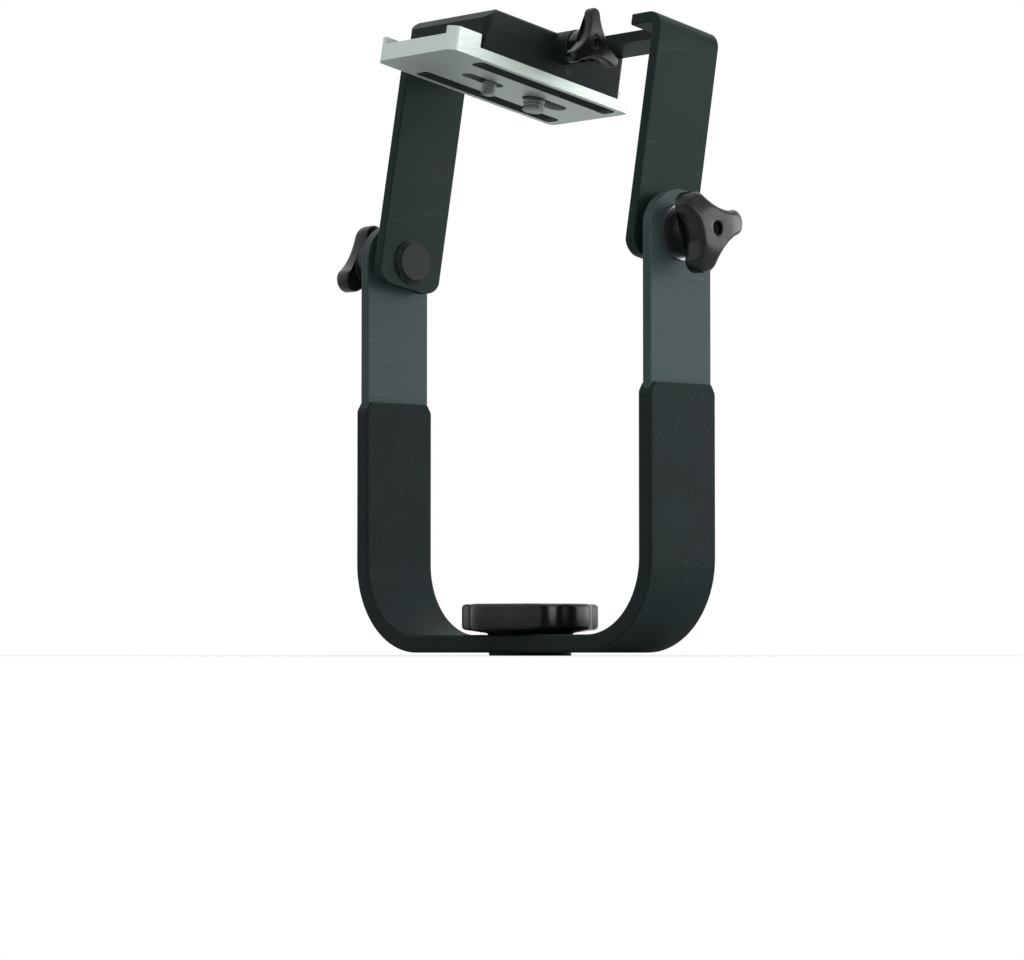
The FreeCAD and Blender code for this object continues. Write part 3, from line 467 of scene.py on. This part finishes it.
tiltKnob = {"start": 95.2 * mm, "hubRadius": 11.5 * mm, "hubTaper": 0.94, "hubLength": 9.3 * mm,
            "hubChamfer": 0.4 * mm, "hubFlare": 0.3 * mm, "headLength": 11 * mm, "tip": 19 * mm,
            "lobe": 5.4 * mm, "waist": 9.2 * mm, "lobes": 3, "flat": 8.5 * mm, "drop": 3 * mm,
            "dome": 1.25, "edge": 2.2 * mm, "rearEdge": 1 * mm, "bore": 8 * mm,
            "boreDepth": 13.5 * mm, "eyeRadius": 2.8 * mm, "eyeDepth": 3 * mm,
            "eyeMouth": 0.5 * mm, "eyeFloor": 0.3 * mm, "lobeSteps": 26, "hollowSteps": 20,
            "edgeSteps": 6, "rearSteps": 4, "faceSteps": 5}
knobTurn = {"right": 25, "left": 80}  # first lobe, seen from outside: up from level at the right
for sideName, side in (("right", rightSide), ("left", leftSide)):
    knob = {**tiltKnob, "angle": knobTurn[sideName] + 90}
    addPiece("tiltKnob" + sideName.capitalize(), sideKnobMesh(knob), swingFrame @ side,
             "tilt_knob_" + sideName, "knob_plastic", "tilt_knob_" + sideName)

lockKnob = {**tiltKnob, "start": 34.05 * mm, "hubRadius": 7.25 * mm, "hubLength": 6.3 * mm,
            "headLength": 5.2 * mm, "tip": 15.5 * mm, "lobe": 2.8 * mm, "waist": 6.3 * mm,
            "flat": 6 * mm, "drop": 0.9 * mm, "edge": 0.9 * mm, "rearEdge": 0.4 * mm,
            "bore": 4 * mm, "boreDepth": 8.3 * mm, "eyeRadius": 2 * mm, "eyeDepth": 1.5 * mm,
            "edgeSteps": 4, "angle": 190, "y": -17.5 * mm, "z": 83.5 * mm}
addPiece("lockKnob", sideKnobMesh(lockKnob),
         swingFrame @ Matrix.Translation((0, lockKnob["y"], lockKnob["z"])) @ rightSide,
         "plate_lock", "knob_plastic", "lock_knob")

panKnob = {"base": 8.8 * mm, "neck": 1 * mm, "dish": 1.4 * mm, "rim": 11.3 * mm,
           "hubRadius": 18 * mm, "tip": 30.25 * mm, "lobe": 13.5 * mm, "waist": 27.4 * mm,
           "lobes": 7, "angle": -42, "edge": 1.8 * mm, "bore": 13 * mm, "recess": 14 * mm,
           "recessEdge": 1.5 * mm, "recessFloor": 18 * mm, "lobeSteps": 12, "hollowSteps": 6,
           "edgeSteps": 5, "recessSteps": 3}


# seven-lobed knob: dished underside, round rim, stepped recess in its top
def panKnobMesh(knob):
    count = knob["lobes"] * (knob["lobeSteps"] + knob["hollowSteps"])
    start = math.radians(knob["angle"]) - math.pi / count
    base, neck, edge, lip = knob["base"], knob["neck"], knob["edge"], knob["recessEdge"]
    low = base + neck + knob["dish"]
    top = low + knob["rim"]
    rings = [circle(knob["bore"], knob["recessFloor"], count, start),
             circle(knob["bore"], base, count, start),
             circle(knob["hubRadius"], base, count, start),
             circle(knob["hubRadius"] + neck, base + neck, count, start)]
    for phi in quarter(knob["edgeSteps"]):
        rings.append(lobedRing(knob, edge * (1 - math.sin(phi)), low + edge * (1 - math.cos(phi))))
    for phi in quarter(knob["edgeSteps"]):
        rings.append(lobedRing(knob, edge * (1 - math.cos(phi)), top - edge * (1 - math.sin(phi))))
    for phi in quarter(knob["recessSteps"]):
        rings.append(circle(knob["recess"] + lip * (1 - math.sin(phi)),
                            top - lip * (1 - math.cos(phi)), count, start))
    rings.append(circle(knob["recess"], knob["recessFloor"], count, start))
    return loft(rings, joined=True)


addPiece("panKnob", panKnobMesh(panKnob), Matrix.Identity(4), "pan_knob", "knob_plastic",
         "pan_knob")
print("knobs made")


# threads, turned parts, pads and the catch's spring

turnedPoints = 96  # round a screw or the foot
threadForm = {"crest": 0.14, "flank": 0.72, "rows": 20}  # shares of the pitch, rings per turn


# rings of a thread cut on or into a cylinder, its ends running out to the plain radius
def threadRings(thread):
    count = turnedPoints
    rows = round((thread["to"] - thread["from"]) / thread["pitch"] * threadForm["rows"])
    rings = []
    for row in range(rows + 1):
        z = thread["from"] + (thread["to"] - thread["from"]) * row / rows
        ends = min(z - thread["from"], thread["to"] - z) / thread["runOut"]
        ring = []
        for i in range(count):
            phase = (z / thread["pitch"] - i / count) % 1
            depth = (abs(2 * phase - 1) - threadForm["crest"]) / threadForm["flank"]
            depth = min(1, max(0, depth)) * min(1, ends)
            radius = thread["crest"] + (thread["root"] - thread["crest"]) * depth
            turn = 2 * math.pi * i / count
            ring.append(Vector((radius * math.cos(turn), radius * math.sin(turn), z)))
        rings.append(ring)
    return rings


# take a box out of a mesh
def cutBox(mesh, low, high):
    blankData = bpy.data.meshes.new("blank")
    mesh.to_mesh(blankData)
    mesh.free()
    cutter = bmesh.new()
    bmesh.ops.create_cube(cutter, size=1)
    for vert in cutter.verts:
        vert.co = Vector([low[k] if vert.co[k] < 0 else high[k] for k in range(3)])
    cutterData = bpy.data.meshes.new("cutter")
    cutter.to_mesh(cutterData)
    cutter.free()
    blank = bpy.data.objects.new("blank", blankData)
    tool = bpy.data.objects.new("cutter", cutterData)
    for thing in (blank, tool):
        bpy.context.scene.collection.objects.link(thing)
    cut = blank.modifiers.new("cut", "BOOLEAN")
    cut.operation, cut.solver, cut.object = "DIFFERENCE", "EXACT", tool
    graph = bpy.context.evaluated_depsgraph_get()
    resultData = bpy.data.meshes.new_from_object(blank.evaluated_get(graph))
    result = bmesh.new()
    result.from_mesh(resultData)
    for thing in (blank, tool):
        bpy.data.objects.remove(thing)
    for data in (blankData, cutterData, resultData):
        bpy.data.meshes.remove(data)
    return result


# slotted screw with a knurled head, its tip down
def lensScrewMesh(screw):
    count = turnedPoints
    tip, shoulder, seat, top = screw["tip"], screw["shoulder"], screw["seat"], screw["top"]
    crest, neck, head = screw["radius"], screw["neck"], screw["head"]
    thread = {"crest": crest, "root": screw["core"], "pitch": screw["pitch"],
              "from": tip + screw["lead"], "to": shoulder, "runOut": screw["runOut"]}
    rings = [circle(crest - inset, tip + rise, count) for inset, rise in screw["tipRound"]]
    rings += threadRings(thread)
    rings += [circle(neck, shoulder, count), circle(neck, seat, count),
              circle(head - screw["seatEdge"], seat, count)]
    for z in (seat + screw["seatEdge"], top - screw["headEdge"]):
        knurled = []
        for i in range(count):
            turn = 2 * math.pi * i / count
            out = head - screw["knurl"] * (0.5 + 0.5 * math.cos(screw["ridges"] * turn))
            knurled.append(Vector((out * math.cos(turn), out * math.sin(turn), z)))
        rings.append(knurled)
    rings += [circle(head - inset, top - drop, count) for inset, drop in screw["headRound"]]
    half = screw["slot"] / 2
    return cutBox(loft(rings), (-head - mm, -half, top - screw["slotDepth"]),
                  (head + mm, half, top + mm))


frontScrew = {"radius": 3.175 * mm, "core": 2.56 * mm, "pitch": 1.27 * mm, "head": 7 * mm,
              "neck": 2.5 * mm, "tip": 60.1 * mm, "shoulder": 65.1 * mm, "seat": 72.45 * mm,
              "top": 75.85 * mm, "slot": 1.6 * mm, "slotDepth": 1.6 * mm, "knurl": 0.22 * mm,
              "ridges": 32, "lead": 0.35 * mm, "runOut": 0.3 * mm, "seatEdge": 0.4 * mm,
              "headEdge": 0.7 * mm, "tipRound": ((0.7 * mm, 0), (0.3 * mm, 0.25 * mm)),
              "headRound": ((0.35 * mm, 0.3 * mm), (0.7 * mm, 0)), "y": -36 * mm}
rearScrew = {**frontScrew, "radius": 4.7625 * mm, "core": 3.98 * mm, "pitch": 1.5875 * mm,
             "head": 8 * mm, "neck": 3.95 * mm, "y": -9 * mm}
for name, screw in (("front", frontScrew), ("rear", rearScrew)):
    addPiece(name + "LensScrew", lensScrewMesh(screw),
             swingFrame @ Matrix.Translation((0, screw["y"], 0)), name + "_screw",
             "screw_steel", name + "_lens_screw", sharp=sharpAngle["threaded"])

footPiece = {"core": 3.97 * mm, "root": 4.76 * mm, "pitch": 1.5875 * mm, "depth": 12 * mm,
             "flange": 18 * mm, "flangeTop": 2.1 * mm, "journal": 10 * mm, "journalTop": 7.6 * mm,
             "stem": 8 * mm, "stemTop": 18.7 * mm, "stemEdge": 0.8 * mm, "screwHole": 2.5 * mm,
             "holeFloor": 13.2 * mm, "flangeEdge": 0.5 * mm, "threadStart": 0.9 * mm,
             "threadEnd": 11.8 * mm, "runOut": 0.4 * mm, "mouth": 0.4 * mm,
             "grooves": (8.5 * mm, 10.5 * mm, 12.5 * mm, 14.5 * mm), "grooveDepth": 0.35 * mm,
             "grooveMouth": 0.6 * mm, "grooveFloor": 0.3 * mm}


# foot turned from one bar: threaded bore, grooved face, journal and stem
def footMesh(foot):
    thread = {"crest": foot["core"], "root": foot["root"], "pitch": foot["pitch"],
              "from": foot["threadStart"], "to": foot["threadEnd"], "runOut": foot["runOut"]}
    mouth, edge, stemEdge = foot["mouth"], foot["flangeEdge"], foot["stemEdge"]
    bend = roundMiddle * edge
    profile = [(foot["root"], mouth), (foot["root"] + mouth, 0)]
    for middle in foot["grooves"]:
        profile += [(middle - foot["grooveMouth"], 0),
                    (middle - foot["grooveFloor"], foot["grooveDepth"]),
                    (middle + foot["grooveFloor"], foot["grooveDepth"]),
                    (middle + foot["grooveMouth"], 0)]
    profile += [(foot["flange"] - edge, 0), (foot["flange"] - bend, bend),
                (foot["flange"], edge), (foot["flange"], foot["flangeTop"]),
                (foot["journal"], foot["flangeTop"]), (foot["journal"], foot["journalTop"]),
                (foot["stem"], foot["journalTop"]), (foot["stem"], foot["stemTop"] - stemEdge),
                (foot["stem"] - stemEdge, foot["stemTop"]),
                (foot["screwHole"], foot["stemTop"]), (foot["screwHole"], foot["holeFloor"])]
    rings = [circle(foot["core"], foot["depth"], turnedPoints)]
    rings += threadRings(thread)[::-1]
    rings += [circle(radius, z, turnedPoints) for radius, z in profile]
    return loft(rings)


addPiece("threadedFoot", footMesh(footPiece), Matrix.Identity(4), "foot", "dark_aluminium",
         "foot", sharp=sharpAngle["threaded"])

# ribShares: places along one rib, with 1 where it is cut down to its groove
platePad = {"inner": 14 * mm, "width": 8 * mm, "from": -60 * mm, "to": 20 * mm,
            "face": 65.3 * mm, "back": 66.6 * mm, "corner": 2 * mm, "cornerSteps": 8,
            "rib": 1.6 * mm, "ribShares": ((0, 0), (0.2, 1), (0.5, 1), (0.7, 0)),
            "ribDepth": 0.45 * mm, "ribStart": 2.4 * mm, "edge": 0.25 * mm, "end": 0.3 * mm}


# rubber strip with cross ribs, made through sections along its length
def padMesh(pad):
    length, corner = pad["to"] - pad["from"], pad["corner"]
    stations = [corner * (1 - math.cos(turn)) for turn in quarter(pad["cornerSteps"])]
    y, ribs = pad["ribStart"], []
    while y + pad["rib"] < length - pad["ribStart"]:
        ribs += [(y + share * pad["rib"], low) for share, low in pad["ribShares"]]
        y += pad["rib"]
    places = [(y, 0) for y in stations] + [place for place in ribs if place[0] > corner]
    places += [(length - y, 0) for y in reversed(stations)]
    rings = []
    for y, low in places:
        near = min(y, length - y)
        inset = 0.0
        if near < corner:
            inset = corner - math.sqrt(max(0.0, corner ** 2 - (corner - near) ** 2))
        half = max(pad["width"] / 2 - inset, pad["end"])
        face, edge = pad["face"] + low * pad["ribDepth"], pad["edge"]
        rings.append([Vector((x, pad["from"] + y, z)) for x, z in
                      ((-half, pad["back"]), (-half, face + edge), (edge - half, face),
                       (half - edge, face), (half, face + edge), (half, pad["back"]))])
    return loft(rings)


for sideName, middle in (("Right", platePad["inner"] + platePad["width"] / 2),
                         ("Left", -platePad["inner"] - platePad["width"] / 2)):
    addPiece("platePad" + sideName, padMesh(platePad),
             swingFrame @ Matrix.Translation((middle, 0, 0)), "plate", "grip_rubber",
             "plate_pads")

catchSpring = {"low": 79 * mm, "high": 86 * mm, "radius": 2.1 * mm, "wire": 0.35 * mm,
               "turns": 3.5, "endTurns": 0.9, "endPitch": 2.1, "stepsPerTurn": 40, "sides": 10,
               "x": -13.5 * mm, "y": -48 * mm, "travel": 2.2 * mm}


# coil of round wire whose last turns lie close
def springMesh(spring):
    wire, bottom = spring["wire"], spring["low"] + spring["wire"]
    span = spring["high"] - spring["low"] - 2 * wire
    total = spring["turns"] + 2 * spring["endTurns"]
    close = spring["endPitch"] * wire * spring["endTurns"]
    steps, rings = round(total * spring["stepsPerTurn"]), []
    around = [2 * math.pi * i / spring["sides"] for i in range(spring["sides"])]
    for k in range(steps + 1):
        turns = total * k / steps
        if turns < spring["endTurns"]:
            z = bottom + close * turns / spring["endTurns"]
        elif turns > total - spring["endTurns"]:
            z = bottom + span - close * (total - turns) / spring["endTurns"]
        else:
            z = bottom + close + (span - 2 * close) * (turns - spring["endTurns"]) / spring["turns"]
        out = Vector((math.cos(2 * math.pi * turns), math.sin(2 * math.pi * turns), 0))
        rings.append([out * (spring["radius"] + wire * math.cos(phi))
                      + Vector((0, 0, z + wire * math.sin(phi))) for phi in around])
    return loft(rings)


springPiece = addPiece("catchSpring", springMesh(catchSpring),
                       swingFrame @ Matrix.Translation((catchSpring["x"], catchSpring["y"], 0)),
                       "swing", "screw_steel", "catch_spring")
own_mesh(springPiece)
print("screws, foot, pads and spring made")


# stage: pale floor that fades into the white background, soft light from the right and above

studio = {"floorSize": 12.0, "floorColour": (0.95, 0.955, 0.955), "floorRoughness": 0.9,
          "fadeFrom": 0.13, "fadeTo": 0.42, "leastFade": 0.35, "worldLight": 0.24,
          "background": 1.0}

floorMesh = bmesh.new()
bmesh.ops.create_grid(floorMesh, x_segments=1, y_segments=1, size=studio["floorSize"])
floorData = bpy.data.meshes.new("studioFloor")
floorMesh.to_mesh(floorData)
floorMesh.free()
floor = bpy.data.objects.new("studioFloor", floorData)
bpy.context.scene.collection.objects.link(floor)

floorMaterial, tree, shader = startMaterial("studioFloor")
shader.inputs["Base Color"].default_value = (*studio["floorColour"], 1)
shader.inputs["Roughness"].default_value = studio["floorRoughness"]
coords = tree.nodes.new("ShaderNodeTexCoord")
distance = tree.nodes.new("ShaderNodeVectorMath")
distance.operation = "LENGTH"
tree.links.new(coords.outputs["Object"], distance.inputs[0])
fade = spread(tree, distance.outputs["Value"], studio["leastFade"], 1,
              studio["fadeFrom"], studio["fadeTo"])
rays = tree.nodes.new("ShaderNodeLightPath")
white = tree.nodes.new("ShaderNodeEmission")
white.inputs["Color"].default_value = (1, 1, 1, 1)
white.inputs["Strength"].default_value = studio["background"]
mixed = tree.nodes.new("ShaderNodeMixShader")
tree.links.new(times(tree, fade, rays.outputs["Is Camera Ray"]), mixed.inputs[0])
tree.links.new(shader.outputs["BSDF"], mixed.inputs[1])
tree.links.new(white.outputs["Emission"], mixed.inputs[2])
tree.links.new(mixed.outputs["Shader"], tree.nodes["Material Output"].inputs["Surface"])
floorData.materials.append(floorMaterial)

world = bpy.data.worlds.new("studioWorld")
bpy.context.scene.world = world
world.use_nodes = True
tree = world.node_tree
tree.nodes.clear()
output = tree.nodes.new("ShaderNodeOutputWorld")
rays = tree.nodes.new("ShaderNodeLightPath")
seen = tree.nodes.new("ShaderNodeMath")
seen.operation = "MAXIMUM"
tree.links.new(rays.outputs["Is Camera Ray"], seen.inputs[0])
tree.links.new(rays.outputs["Is Glossy Ray"], seen.inputs[1])
seenOrThrough = tree.nodes.new("ShaderNodeMath")
seenOrThrough.operation = "MAXIMUM"
tree.links.new(seen.outputs["Value"], seenOrThrough.inputs[0])
tree.links.new(rays.outputs["Is Transmission Ray"], seenOrThrough.inputs[1])
background = tree.nodes.new("ShaderNodeBackground")
background.inputs["Color"].default_value = (1, 1, 1, 1)
tree.links.new(spread(tree, seenOrThrough.outputs["Value"], studio["worldLight"],
                      studio["background"], 0, 1), background.inputs["Strength"])
tree.links.new(background.outputs["Background"], output.inputs["Surface"])


def softLight(name, look):
    light = bpy.data.lights.new(name, "AREA")
    light.shape = "RECTANGLE"
    light.size, light.size_y = look["size"]
    light.energy = look["power"]
    lamp = bpy.data.objects.new(name, light)
    lamp.location = look["place"]
    lamp.rotation_mode = "QUATERNION"
    toward = Vector(look["aim"]) - Vector(look["place"])
    lamp.rotation_quaternion = toward.to_track_quat("-Z", "Y")
    lamp.visible_camera = False
    bpy.context.scene.collection.objects.link(lamp)


softLight("keyLight", {"size": (3.4, 0.75), "power": 26, "place": (1.35, 1.2, 0.36),
                       "aim": (0, 0, 0.34)})
softLight("topLight", {"size": (2.2, 2.2), "power": 16, "place": (0.1, 0.1, 1.7),
                       "aim": (0, 0, 0.15)})
print("stage and light ready")
